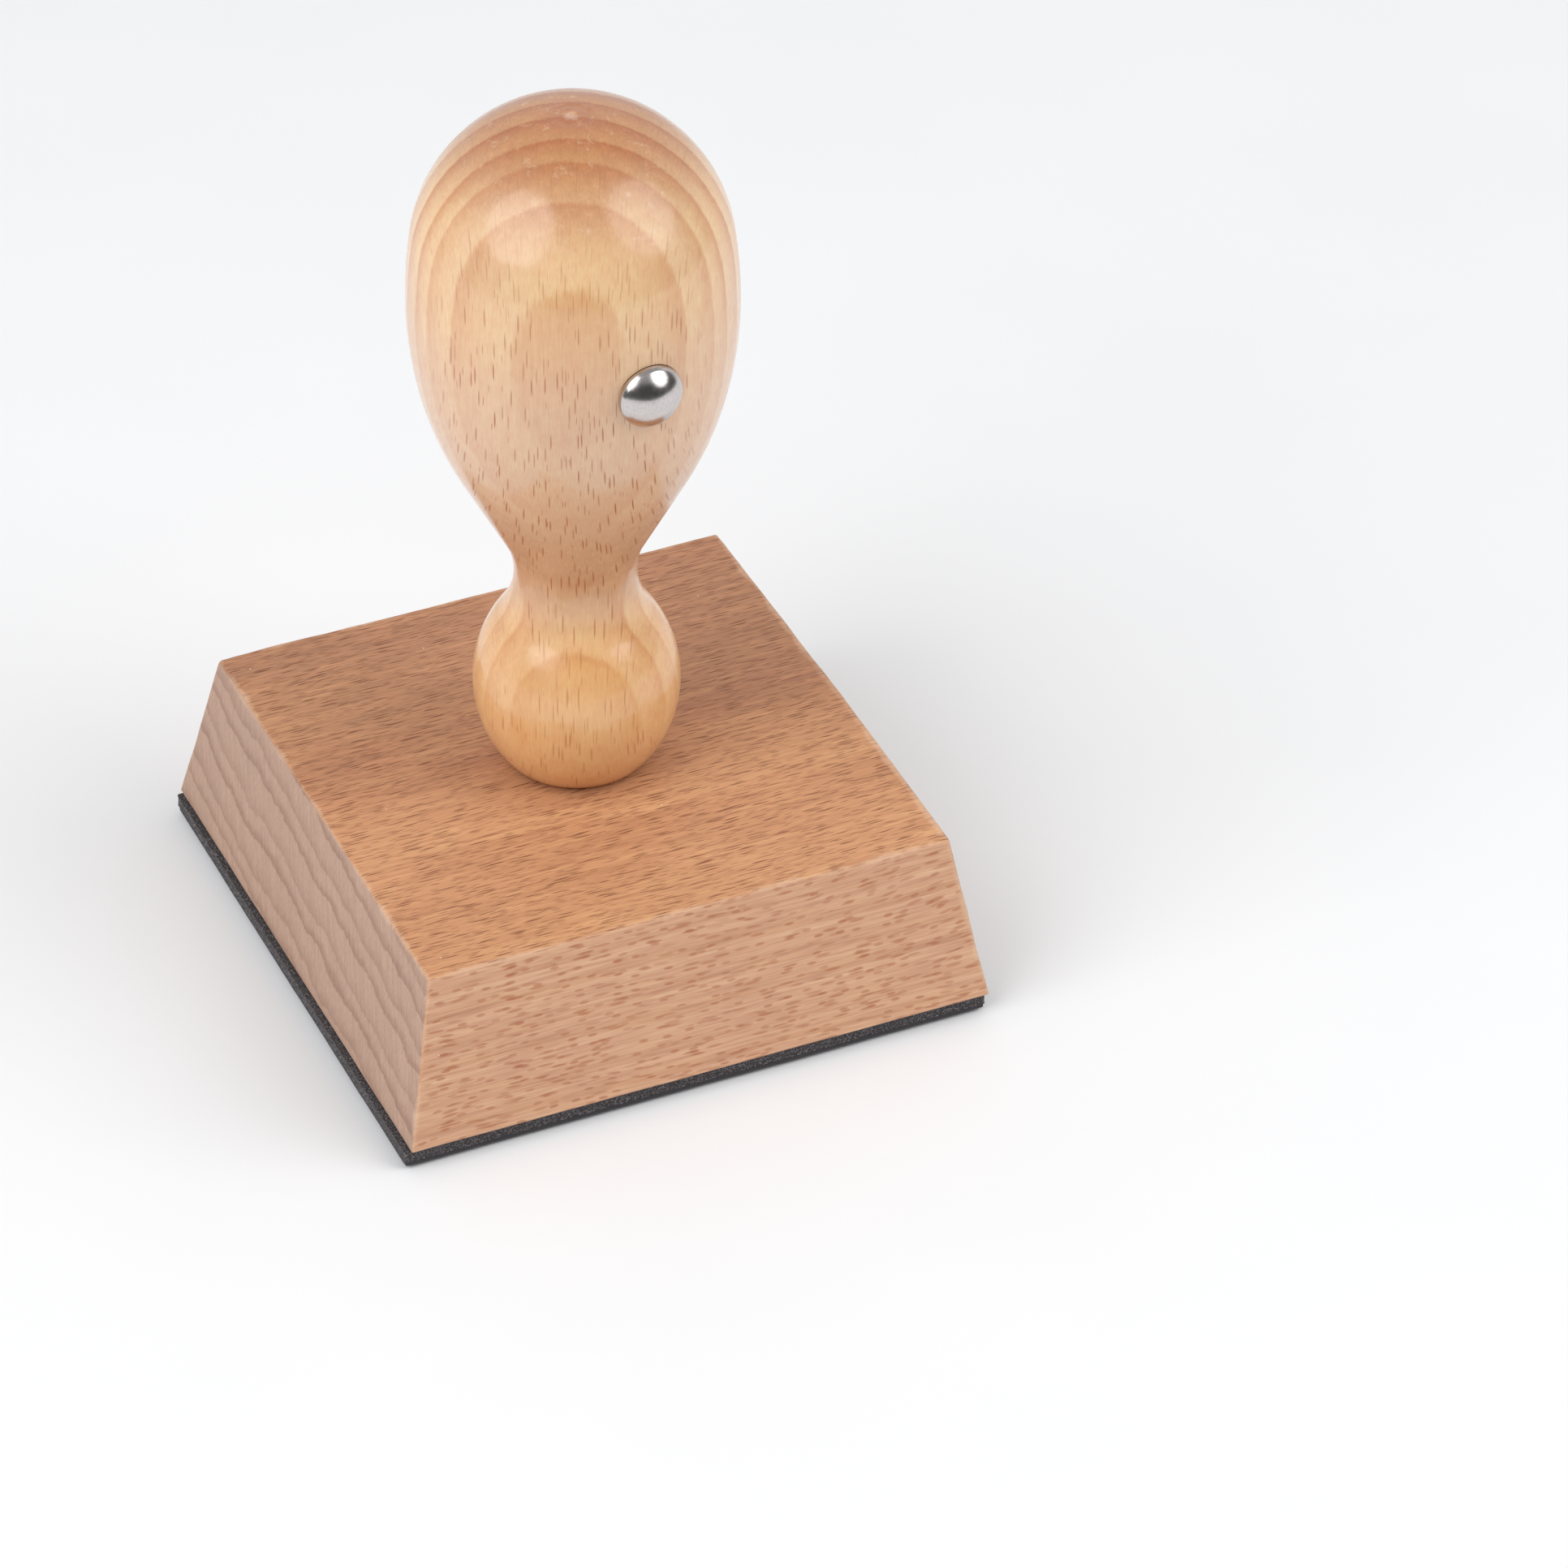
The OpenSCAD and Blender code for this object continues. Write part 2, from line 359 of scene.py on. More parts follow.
def screw_radius(z, angle, thread_z, tip_z):
    """Radius of the threaded end at height z and an angle round it."""
    if z < thread_z:
        return SCREW_SHANK_R
    along = ((z - thread_z) / SCREW_PITCH - angle / TURN) % 1
    ridge = max(0.0, 1 - abs(along - 0.5) / 0.3)
    starting = min(1.0, (z - thread_z) / (0.8 * SCREW_PITCH))
    core = SCREW_SHANK_R + (SCREW_CORE_R - SCREW_SHANK_R) * min(1.0, starting * 2)
    taper = min(1.0, max(0.02, (tip_z - z) / 3.2))
    return (core + (SCREW_R - core) * ridge * starting) * taper


def make_screw():
    """A countersunk wood screw: rimmed cone head, plain shank and one helical thread to the tip."""
    head_z = BLOCK_LOW[2] + SCREW_SINK
    cone_z = head_z + 0.3
    neck_z = cone_z + SCREW_HEAD_R - SCREW_R
    thread_z = FOOT_Z + 1
    tip_z = head_z + SCREW_L
    around = 40
    head = [(0.1, head_z), (SCREW_HEAD_R - 0.15, head_z), (SCREW_HEAD_R, head_z + 0.12)]
    head += [(SCREW_HEAD_R, cone_z), (SCREW_R, neck_z), (SCREW_SHANK_R, neck_z + 0.6)]
    rings = []
    for radius, z in head:
        rings.append([(radius * math.cos(a), radius * math.sin(a), z) for a in turn_angles(around)])
    for z in np.arange(thread_z - 0.4, tip_z, SCREW_PITCH / 16):
        ring = []
        for a in turn_angles(around):
            radius = screw_radius(z, a, thread_z, tip_z)
            ring.append((radius * math.cos(a), radius * math.sin(a), z))
        rings.append(ring)
    made = new_object("countersunk_screw", *tube(rings))
    for turn in (0, math.pi / 2):
        combine(made, drive_slot(head_z, turn), "DIFFERENCE")
    return made


def turn_angles(count):
    return [i * TURN / count for i in range(count)]


def drive_slot(head_z, turn):
    """One arm of the cross recess, narrower at its bottom."""
    corners = []
    for z, length, width in ((-0.5, 2.05, 0.52), (1.5, 1.0, 0.3)):
        for x, y in ((-1, -1), (1, -1), (1, 1), (-1, 1)):
            across, along = x * length, y * width
            corners.append((
                across * math.cos(turn) - along * math.sin(turn),
                across * math.sin(turn) + along * math.cos(turn),
                head_z + z,
            ))
    return new_object("cutter", *tube([corners[:4], corners[4:]]))


# ---------------------------------------------------------------- block


def wall_distances(points):
    """Distance outside each plane of the block, in mm: top, bottom, right, left, back, front."""
    steep = math.sqrt(1 + BLOCK_LEAN**2)
    x, y, z = points.T
    inward = BLOCK_LEAN * (z - BLOCK_LOW[2] - BLOCK_ARRIS)
    half_w, half_d = BLOCK_HIGH[0], BLOCK_HIGH[1]
    height = (z - BLOCK_LOW[2]) / (BLOCK_HIGH[2] - BLOCK_LOW[2])
    bow = 0.55 * height * (1 - ((y + 8) / (half_d + 8)) ** 2)
    front_bow = 0.2 * height * (1 - (x / half_w) ** 2)
    return np.stack([
        z - BLOCK_HIGH[2],
        BLOCK_LOW[2] - z,
        (x + inward - half_w - bow) / steep,
        (-x + inward - half_w) / steep,
        (y + inward - half_d) / steep,
        (-y + inward - half_d + front_bow) / steep,
    ])


def edge_radii(points):
    """How far each place's edges are worn round, in mm: unevenly, and less along the bottom."""
    wear = np.array([noise.noise(Vector((x / 7, y / 7, z / 7))) for x, y, z in points])
    fine = np.array([noise.noise(Vector((x / 1.6, y / 1.6, z / 1.6))) for x, y, z in points])
    top = 0.42 + 0.3 * wear + 0.1 * fine
    bottom = 0.3 + 0.12 * wear
    near_bottom = np.clip((BLOCK_LOW[2] + 4 - points[:, 2]) / 3, 0, 1)
    return np.clip(top + (bottom - top) * near_bottom, 0.12, 1.1)


def push_to_surface(points):
    """Moves points along rays from the block's middle onto its worn surface."""
    middle = (BLOCK_LOW + BLOCK_HIGH) / 2
    rays = points - middle
    radii = edge_radii(points)
    inner, outer = np.zeros(len(points)), np.full(len(points), 1.4)
    for _ in range(34):
        share = (inner + outer) / 2
        walls = wall_distances(middle + rays * share[:, None])
        outside = np.sqrt((np.maximum(walls + radii, 0) ** 2).sum(0)) - radii
        inner = np.where(outside < 0, share, inner)
        outer = np.where(outside < 0, outer, share)
    return middle + rays * inner[:, None]


def edge_stops(half, step):
    """Places from -half to half, close together near both ends."""
    fine = [0, 0.06, 0.13, 0.21, 0.3, 0.4, 0.52, 0.67, 0.85, 1.05, 1.3, 1.65, 2.1, 2.8]
    count = max(2, round((2 * half - 2 * fine[-1]) / step))
    middle = np.linspace(-half + fine[-1], half - fine[-1], count + 1)[1:-1]
    ends = np.array(fine)
    return np.concatenate([-half + ends, middle, (half - ends)[::-1]])


def make_block():
    """The bevelled block, its edges worn round, with a countersunk hole for the screw."""
    middle = (BLOCK_LOW + BLOCK_HIGH) / 2
    half = (BLOCK_HIGH - BLOCK_LOW) / 2
    stops = [edge_stops(half[0], 1.0), edge_stops(half[1], 1.0), edge_stops(half[2], 0.8)]
    points, faces = [], []
    for axis in range(3):
        first, second = [i for i in range(3) if i != axis]
        for side in (-1, 1):
            start = len(points)
            for u in stops[first]:
                for v in stops[second]:
                    p = np.zeros(3)
                    p[axis], p[first], p[second] = side * half[axis], u, v
                    narrow = BLOCK_BEVEL * (p[2] + half[2]) / (2 * half[2])
                    p[0] *= (half[0] - narrow) / half[0]
                    p[1] *= (half[1] - narrow) / half[1]
                    points.append(middle + p)
            across = len(stops[second])
            for i in range(len(stops[first]) - 1):
                for j in range(across - 1):
                    corner = start + i * across + j
                    faces.append((corner, corner + 1, corner + across + 1, corner + across))
    made = new_object("bevelled_block", push_to_surface(np.array(points)), faces, math.radians(60))
    hole_r = SCREW_R + SCREW_GAP
    head_r = SCREW_HEAD_R + SCREW_GAP
    head_z = BLOCK_LOW[2] + SCREW_SINK + 0.3
    profile = [(head_r, BLOCK_LOW[2] - 1), (head_r, head_z), (hole_r, head_z + head_r - hole_r)]
    profile += [(hole_r, FOOT_Z + 1)]
    combine(made, new_object("cutter", *lathe(profile, 64)), "DIFFERENCE")
    return made


# ---------------------------------------------------------------- pad


def pad_loop(low, high, inset, waver, step):
    """Points round a sheet's outline, cut by hand: it wavers inward, never outward."""
    width, depth = high[0] - low[0], high[1] - low[1]
    length = 2 * (width + depth)
    count = int(length / step)
    half = np.array([width, depth]) / 2 - inset
    centre = (low[:2] + high[:2]) / 2
    points = []
    for i in range(count):
        s = i * length / count
        if s < width:
            p = np.array([s - width / 2, -depth / 2])
        elif s < width + depth:
            p = np.array([width / 2, s - width - depth / 2])
        elif s < 2 * width + depth:
            p = np.array([width / 2 - (s - width - depth), depth / 2])
        else:
            p = np.array([-width / 2, depth / 2 - (s - 2 * width - depth)])
        slow = noise.noise(Vector((p[0] / 13, p[1] / 13, CUT_SEED)))
        quick = noise.noise(Vector((p[0] / 2.4, p[1] / 2.4, CUT_SEED + 5)))
        cut = half - waver * (0.5 + 0.38 * slow + 0.12 * quick)
        core = np.clip(p, PAD_CORNER_R - cut, cut - PAD_CORNER_R)
        away = p - core
        away = away / max(np.linalg.norm(away), 1e-9)
        points.append(centre + core + away * PAD_CORNER_R)
    return np.array(points)


def sheet_rings(loop, heights, bulge):
    """Rings of a sheet's outline at several heights; bulge gives how far each stands inward."""
    centre = (loop.max(0) + loop.min(0)) / 2
    reach = (loop.max(0) - loop.min(0)) / 2
    rings = []
    for z, inward in zip(heights, bulge):
        share = 1 - inward / reach
        rings.append([((x - centre[0]) * share[0] + centre[0], (y - centre[1]) * share[1] + centre[1], z)
                      for x, y in loop])
    return np.array(rings)


def make_foam():
    """The foam cushion: its cut edge is open-celled and slightly hollow."""
    low, high = box_mm("foam_cushion")
    share = np.linspace(0, 1, 9)
    bulge = 0.01 + 0.04 * np.sin(share * math.pi)
    loop = pad_loop(low, high, 0.0, 0.1, 0.26)
    rings = sheet_rings(loop, low[2] + share * (high[2] - low[2]), bulge)
    middle = (low + high) / 2
    for ring in rings[1:-1]:
        for p in ring:
            cell = noise.noise(Vector(p) / FOAM_CELL)
            away = Vector((p[0] - middle[0], p[1] - middle[1])).normalized()
            p[:2] -= np.array(away) * max(0.0, 0.02 + 0.15 * cell)
    return new_object("foam_pad", *tube(rings), math.radians(50))


def make_film(name, node):
    """A film of adhesive, cut inside the edge of the sheets that it joins."""
    low, high = box_mm(node)
    loop = pad_loop(low, high, FILM_INSET, 0.2, 0.8)
    share = np.array([0, 0.5, 1])
    rings = sheet_rings(loop, low[2] + share * (high[2] - low[2]), (0.05, 0, 0.05))
    return new_object(name, *tube(rings), math.radians(50))


def offset_rectangle(half, grow):
    x, y = half[0] + grow, half[1] + grow
    return np.array([(-x, -y), (x, -y), (x, y), (-x, y)])


def circle_points(radius, count):
    return np.array([(radius * math.cos(a), radius * math.sin(a)) for a in turn_angles(count)])


def leaf_points(length, grow, count=14):
    """Outline of a pointed leaf along +Y from the origin, grown all round by grow."""
    radius = 0.75 * length
    side = math.sqrt(radius**2 - length**2 / 4)
    half = math.acos(side / (radius + grow))
    right = [(math.cos(a) * (radius + grow) - side, length / 2 + math.sin(a) * (radius + grow))
             for a in np.linspace(-half, half, count)]
    left = [(-x, y) for x, y in right[::-1][1:-1]]
    return np.array(right + left)


def placed(points, turn, at=(0, 0)):
    """Outline points turned by an angle and moved."""
    c, s = math.cos(turn), math.sin(turn)
    return points @ np.array([[c, s], [-s, c]]) + at


def relief_shapes():
    """Outlines of the raised design, each as a function of how far it is grown."""
    low, high = box_mm("rubber_die")
    half = (high - low)[:2] / 2
    shapes = [lambda grow: circle_points(DOT_D + grow, 40)]
    for i in range(PETALS):
        turn = i * TURN / PETALS
        out = placed(np.array([(0, 2 * DOT_D)]), turn)[0]
        between = placed(np.array([(0, PETAL_L)]), turn + TURN / PETALS / 2)[0]
        shapes.append(lambda grow, t=turn, o=out: placed(leaf_points(PETAL_L, grow), t, o))
        shapes.append(lambda grow, b=between: circle_points(DOT_D / 2 + grow, 24) + b)
    inner_in = BORDER_IN + BORDER_T + LINE_GAP
    for sx in (-1, 1):
        for sy in (-1, 1):
            at = np.array([sx * (half[0] - inner_in - 2.5), sy * (half[1] - inner_in - 2.5)])
            inward = math.atan2(-sy, -sx) - math.pi / 2
            for fan in (-34, 0, 34):
                turn = inward + math.radians(fan)
                root = at + placed(np.array([(0, 1.0)]), turn)[0]
                shapes.append(lambda grow, t=turn, r=root: placed(leaf_points(CORNER_L, grow), t, r))
    return shapes


def raised(outline, centre):
    """A closed relief body, wider at its root, from an outline that can be grown."""
    face, shoulder, root = (0.0, -0.05), (0.04, -0.03), (RELIEF_ROOT_Z, 0.14)
    rings = []
    for z, grow in (face, shoulder, root):
        rings.append([(x + centre[0], y + centre[1], z) for x, y in outline(grow)])
    return tube(rings)


def raised_frame(half, inset, line, centre):
    """A closed rectangular ridge of the design, wider at its root."""
    outer = half - inset
    inner = outer - line
    loops = [
        (offset_rectangle(outer, 0.14), RELIEF_ROOT_Z),
        (offset_rectangle(outer, -0.05), 0.0),
        (offset_rectangle(inner, 0.05), 0.0),
        (offset_rectangle(inner, -0.14), RELIEF_ROOT_Z),
    ]
    points = [(x + centre[0], y + centre[1], z) for loop, z in loops for x, y in loop]
    faces = ring_faces(4, 4)
    for i in range(4):
        j = (i + 1) % 4
        faces.append((12 + i, 12 + j, j, i))
    return np.array(points), faces


def make_die():
    """The rubber die: a thin sheet with the engraved design standing down from it."""
    low, high = box_mm("rubber_die")
    centre = (low + high)[:2] / 2
    half = (high - low)[:2] / 2
    loop = pad_loop(low, high, DIE_INSET, 0.2, 0.8)
    heights = (RELIEF_T, RELIEF_T + 0.1, high[2] - 0.06, high[2])
    made = new_object("engraved_die", *tube(sheet_rings(loop, heights, (0.06, 0, 0, 0.04))))
    points, faces = np.zeros((0, 3)), []
    bodies = [raised(shape, centre) for shape in relief_shapes()]
    bodies.append(raised_frame(half, BORDER_IN, BORDER_T, centre))
    bodies.append(raised_frame(half, BORDER_IN + BORDER_T + LINE_GAP, LINE_T, centre))
    for body_points, body_faces in bodies:
        start = len(points)
        faces += [tuple(start + i for i in face) for face in body_faces]
        points = np.concatenate([points, body_points])
    combine(made, new_object("design", points, faces), "UNION", math.radians(30))
    return made


# ---------------------------------------------------------------- shader nodes


def srgb(red, green, blue):
    """Linear colour from 0 to 255 display values."""
    parts = [c / 255 for c in (red, green, blue)]
    return tuple(c / 12.92 if c < 0.04045 else ((c + 0.055) / 1.055) ** 2.4 for c in parts) + (1.0,)


def add_node(tree, kind, inputs, settings):
    """A shader node with its settings, each input either linked or set to a value."""
    node = tree.nodes.new(kind)
    for name, value in settings.items():
        setattr(node, name, value)
    for key, value in inputs.items():
        if isinstance(value, bpy.types.NodeSocket):
            tree.links.new(value, node.inputs[key])
        else:
            node.inputs[key].default_value = value
    return node


class Surface:
    """One material, with short calls that add shader nodes to it and link them."""

    def __init__(self, name):
        self.material = bpy.data.materials.new(name)
        self.material.use_nodes = True
        self.tree = self.material.node_tree
        self.tree.nodes.clear()
        self.point = self.scaled(self.add("ShaderNodeTexCoord").outputs["Object"], 1 / MM)

    def add(self, kind, inputs=None, **settings):
        return add_node(self.tree, kind, inputs or {}, settings)

    def math(self, operation, a, b=0.0, c=0.0):
        return self.add("ShaderNodeMath", {0: a, 1: b, 2: c}, operation=operation).outputs[0]

    def scaled(self, vector, factor):
        node = self.add("ShaderNodeVectorMath", {0: vector, "Scale": factor}, operation="SCALE")
        return node.outputs[0]

    def split(self, vector):
        return self.add("ShaderNodeSeparateXYZ", {0: vector}).outputs

    def vector(self, x, y, z):
        return self.add("ShaderNodeCombineXYZ", {0: x, 1: y, 2: z}).outputs[0]

    def length(self, x, y):
        """Distance from the axis at that x and y."""
        return self.math("SQRT", self.math("ADD", self.math("MULTIPLY", x, x), self.math("MULTIPLY", y, y)))

    def stretched(self, vector, x, y, z):
        """The vector measured in cells of that size."""
        node = self.add("ShaderNodeVectorMath", {0: vector, 1: (1 / x, 1 / y, 1 / z)}, operation="MULTIPLY")
        return node.outputs[0]

    def noise(self, vector, detail=2.0, roughness=0.5, distortion=0.0):
        """Smooth noise from 0 to 1, one wave to a unit of the vector."""
        inputs = {"Vector": vector, "Scale": 1.0, "Detail": detail}
        inputs.update({"Roughness": roughness, "Distortion": distortion})
        return self.add("ShaderNodeTexNoise", inputs).outputs[0]

    def remap(self, value, low, high, to_low=0.0, to_high=1.0):
        """A smooth step from to_low at low to to_high at high."""
        inputs = {"Value": value, 1: low, 2: high, 3: to_low, 4: to_high}
        return self.add("ShaderNodeMapRange", inputs, interpolation_type="SMOOTHSTEP").outputs[0]

    def band(self, value, start, full, last, end):
        """1 between full and last, fading to 0 at start and end."""
        return self.math("MULTIPLY", self.remap(value, start, full), self.remap(value, end, last))

    def mix(self, factor, a, b, blend="MIX"):
        """Colour a with colour b over it, as strong as the factor, in the given blend mode."""
        inputs = {0: factor, 6: a, 7: b}
        return self.add("ShaderNodeMix", inputs, data_type="RGBA", blend_type=blend).outputs[2]

    def blend(self, factor, a, b):
        """A number that runs from a to b with the factor."""
        return self.add("ShaderNodeMix", {0: factor, 2: a, 3: b}, data_type="FLOAT").outputs[0]

    def ramp(self, value, stops):
        """A grey or coloured ramp through (place, colour) stops."""
        node = self.add("ShaderNodeValToRGB", {0: value})
        elements = node.color_ramp.elements
        for i, (place, colour) in enumerate(stops):
            element = elements[i] if i < 2 else elements.new(place)
            element.position = place
            element.color = colour if hasattr(colour, "__len__") else (colour, colour, colour, 1)
        return node.outputs[0]

    def cells(self, vector, dimensions="3D"):
        """Random cells, one to a unit of the vector: distance from the middle, and three random values."""
        inputs = {"Vector": vector, "Scale": 1.0}
        node = self.add("ShaderNodeTexVoronoi", inputs, voronoi_dimensions=dimensions)
        chance = self.add("ShaderNodeSeparateColor", {0: node.outputs["Color"]}).outputs
        return node.outputs["Distance"], chance

    def marks(self, vector, radius, kept, dimensions="3D"):
        """Separate soft-edged marks, one in the kept share of the cells, each of its own strength."""
        distance, chance = self.cells(vector, dimensions)
        shape = self.remap(distance, radius, 0.5 * radius)
        chosen = self.math("LESS_THAN", chance[0], kept)
        strength = self.math("MULTIPLY_ADD", chance[1], 0.5, 0.5)
        return self.math("MULTIPLY", shape, self.math("MULTIPLY", chosen, strength))

    def bump(self, height, depth_mm, strength=1.0, normal=None):
        inputs = {"Height": height, "Distance": depth_mm * MM, "Strength": strength}
        if normal is not None:
            inputs["Normal"] = normal
        return self.add("ShaderNodeBump", inputs).outputs[0]

    def shade(self, **inputs):
        """Ends the material in one Principled shader."""
        named = {key.replace("_", " "): value for key, value in inputs.items()}
        shader = self.add("ShaderNodeBsdfPrincipled", named)
        self.add("ShaderNodeOutputMaterial", {0: shader.outputs[0]})
        return self.material


# ---------------------------------------------------------------- woods


def growth_rings(surface, depth, rings, low, high):
    """How late in its year's growth the wood is, from 0 to 1: it jumps up at each ring and fades.

    rings are (depth in mm, darkness) pairs; low and high are the depths that they cover."""
    share = surface.add("ShaderNodeMapRange", {"Value": depth, 1: low, 2: high}).outputs[0]
    stops = []
    for place, dark in rings:
        stops.append(((place - 0.16 - low) / (high - low), 0.04))
        stops.append(((place + 0.2 - low) / (high - low), dark))
    return surface.math("POWER", surface.ramp(share, stops), 1.7)


def handle_wood():
    """Lacquered beech, turned with the grain upright: ovals of growth rings and upright ray flecks."""
    s = Surface("lacquered_beech")
    x, y, z = s.split(s.point)[:3]
    up = s.math("SUBTRACT", z, FOOT_Z)
    toward_x, toward_y = math.sin(VIEW_AZIMUTH), -math.cos(VIEW_AZIMUTH)
    pith = 85.0
    near = s.math("ADD", s.math("MULTIPLY", x, toward_x), s.math("MULTIPLY", y, toward_y))
    across = s.math("ADD", s.math("MULTIPLY", x, -toward_y), s.math("MULTIPLY", y, toward_x))
    to_pith = s.math("SUBTRACT", pith, near)
    distance = s.length(to_pith, across)
    fan = s.math("MULTIPLY", s.math("ARCTAN2", across, to_pith), pith)
    along_grain = s.vector(fan, distance, z)
    waver = s.noise(s.stretched(s.point, 9, 9, 30), 2)
    depth = s.math("ADD", s.math("SUBTRACT", pith, distance), s.math("MULTIPLY", up, 0.045))
    depth = s.math("ADD", depth, s.math("MULTIPLY_ADD", waver, 1.2, -0.6))
    depth = s.math("ADD", depth, s.remap(up, 29, 20, 0, -1.35))
    fuzz = s.noise(s.stretched(along_grain, 0.35, 0.5, 5), 3)
    depth = s.math("ADD", depth, s.math("MULTIPLY_ADD", fuzz, 0.5, -0.25))
    rings = [(-16.4, 0.7), (-12.9, 0.75), (-9.4, 0.7), (-5.9, 0.8), (-2.4, 0.95), (1.1, 0.9)]
    rings += [(4.3, 1.0), (7.9, 0.9), (10.8, 0.75), (14.75, 0.75), (19.7, 0.6)]
    late = growth_rings(s, depth, rings, -20, 24)
    late = s.math("MULTIPLY", late, s.math("MULTIPLY_ADD", s.band(up, 19, 26, 34, 46), -0.5, 1.0))
    late = s.math("MULTIPLY", late, s.remap(up, 6, 14, 0.25, 1.0))
    wood = s.mix(late, srgb(232, 192, 144), srgb(204, 134, 76))
    blotch = s.noise(s.stretched(s.point, 12, 12, 34), 3)
    pinker = s.math("MAXIMUM", s.remap(blotch, 0.4, 0.7, 0, 0.35), s.band(up, 24, 38, 56, 72))
    wood = s.mix(s.math("MULTIPLY", pinker, 0.65), wood, srgb(219, 179, 149))
    wood = s.mix(s.remap(up, 26, 17, 0, 0.6), wood, srgb(228, 170, 106))
    # Painted shade: a darker brown band round the waist and the foot of the flank above it, standing for
    # the shade in that hollow
    wood = s.mix(s.math("MULTIPLY", s.band(up, 20, 26, 31, 44), 0.6), wood, srgb(190, 134, 96))
    # Where the surface cuts across the fibres it soaks up more lacquer: darker and more orange
    normal = s.split(s.add("ShaderNodeTexCoord").outputs["Normal"])
    cut_across = s.remap(s.math("ABSOLUTE", normal[2]), 0.45, 0.95)
    wood = s.mix(cut_across, wood, srgb(214, 184, 160), "MULTIPLY")
    fibres = s.noise(s.stretched(along_grain, 0.16, 0.5, 6), 3, 0.6)
    wood = s.mix(0.5, wood, s.ramp(fibres, [(0.25, 0.38), (0.75, 0.62)]), "OVERLAY")
    mottle = s.noise(s.stretched(s.point, 1.1, 1.1, 1.6), 4, 0.65)
    wood = s.mix(0.4, wood, s.ramp(mottle, [(0.3, 0.40), (0.7, 0.60)]), "OVERLAY")
    flat_grain = s.vector(fan, z, distance)
    flecks = s.marks(s.stretched(flat_grain, 0.56, 6.6, 1), 0.215, 0.62, "2D")
    small = s.marks(s.stretched(flat_grain, 0.34, 3.4, 1), 0.22, 0.12, "2D")
    flecks = s.math("MAXIMUM", flecks, s.math("MULTIPLY", small, 0.8))
    sideways = s.math("MULTIPLY_ADD", normal[0], -toward_y, s.math("MULTIPLY", normal[1], toward_x))
    flecks = s.math("MULTIPLY", flecks, s.remap(s.math("ABSOLUTE", sideways), 0.92, 0.6))
    flecks = s.math("MULTIPLY", flecks, s.remap(up, 82, 58, 0.2, 1))
    flecks = s.math("MULTIPLY", flecks, s.remap(up, 18, 30, 0.6, 1))
    hair = s.marks(s.stretched(flat_grain, 0.2, 2.4, 1), 0.22, 0.4, "2D")
    wood = s.mix(s.math("MULTIPLY", flecks, 0.95), wood, srgb(170, 90, 42))
    wood = s.mix(s.math("MULTIPLY", hair, 0.18), wood, srgb(176, 116, 76))
    marked, scratches = crown_marks(s, wood, x, y, up)
    relief = s.math("SUBTRACT", s.math("MULTIPLY", fibres, 0.4), s.math("ADD", flecks, scratches))
    smear = s.noise(s.stretched(s.point, 3.5, 3.5, 5), 4, 0.6)
    return s.shade(
        Base_Color=marked,
        Roughness=s.remap(smear, 0.3, 0.7, 0.42, 0.54),
        Normal=s.bump(relief, 0.03, 0.5),
        IOR=1.5,
        Coat_Weight=0.9,
        Coat_Roughness=s.remap(smear, 0.3, 0.7, 0.14, 0.21),
        Coat_IOR=1.6,
        Coat_Normal=s.bump(smear, 0.012, 0.4),
    )


def crown_marks(s, wood, x, y, up):
    """Adds the lathe centre's pale scar, the stain round it and fine scratches on the crown."""
    from_axis = s.length(x, y)
    on_crown = s.math("GREATER_THAN", up, HANDLE_H - 5)
    rough = s.noise(s.stretched(s.point, 0.8, 0.8, 0.8), 3, 0.6)
    uneven_r = s.math("ADD", from_axis, s.math("MULTIPLY_ADD", rough, 1.6, -0.8))
    stain = s.math("MULTIPLY", on_crown, s.remap(uneven_r, 5.0, 1.0))
    scar = s.math("MULTIPLY", on_crown, s.remap(uneven_r, 1.0, 0.4))
    wood = s.mix(s.math("MULTIPLY", stain, 0.5), wood, srgb(170, 104, 74))
    wood = s.mix(s.math("MULTIPLY", scar, 0.5), wood, srgb(226, 190, 164))
    bends = s.noise(s.stretched(s.point, 7, 7, 5), 1, 0.5, 0.6)
    line = s.remap(s.math("ABSOLUTE", s.math("SUBTRACT", bends, 0.5)), 0.004, 0.0015)
    where = s.noise(s.stretched(s.point, 2.6, 2.6, 2.2), 1)
    line = s.math("MULTIPLY", line, s.remap(where, 0.55, 0.65))
    scratches = s.math("MULTIPLY", line, s.remap(up, 56, 74))
    rubbed = s.noise(s.stretched(s.point, 1.5, 1.5, 1.0), 4, 0.7)
    rubbed = s.math("MULTIPLY", s.remap(rubbed, 0.55, 0.8), s.remap(up, 66, 80, 0, 0.6))
    wood = s.mix(s.math("MAXIMUM", s.math("MULTIPLY", scratches, 0.22), rubbed), wood, srgb(230, 198, 168))
    return wood, scratches


